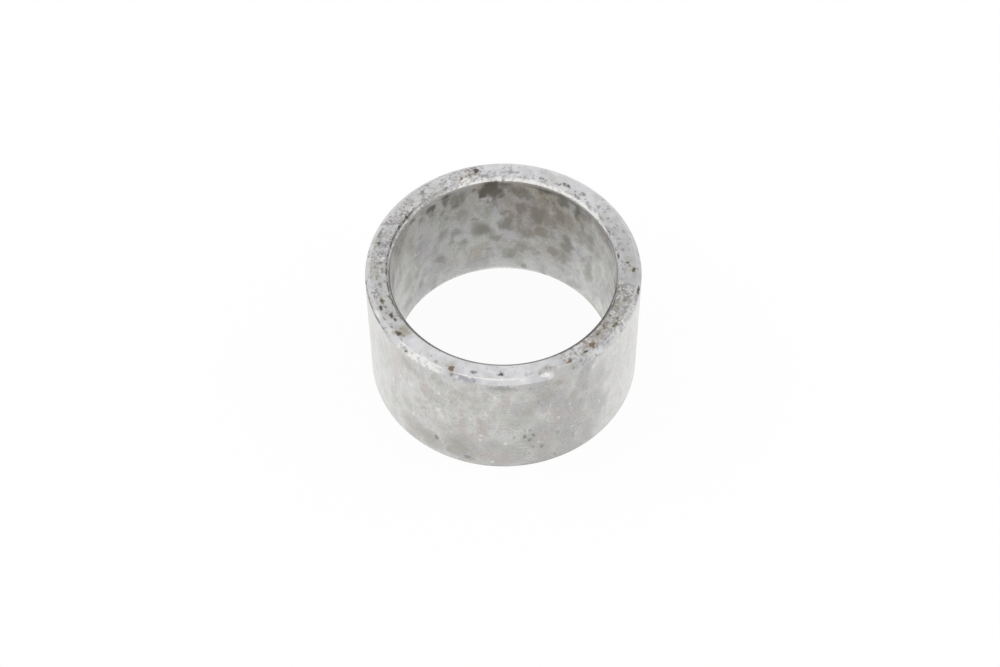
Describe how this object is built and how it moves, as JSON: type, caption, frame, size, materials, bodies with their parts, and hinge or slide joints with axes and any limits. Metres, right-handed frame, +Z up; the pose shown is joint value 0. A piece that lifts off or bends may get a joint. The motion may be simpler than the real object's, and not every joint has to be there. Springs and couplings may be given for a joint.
{
  "type": "spacer sleeve",
  "caption": "Short plain steel ring with a wide straight bore and chamfered ends, slid onto a shaft to hold two parts a set distance apart.",
  "frame": {"origin": "centre of the lower end face, on the bore's axis", "axes": "+Z up the bore, from the lower end face to the upper one; X and Y are alike, because the ring is round"},
  "size_m": [0.055, 0.055, 0.0315],
  "materials": {
    "bare_steel": "bare turned steel gone dull, with small corrosion pits and a few rust spots on the end face, and brown-grey stains in the bore"
  },
  "bodies": {
    "root": {"spacer_sleeve": "bare_steel"}
  },
  "joints": []
}
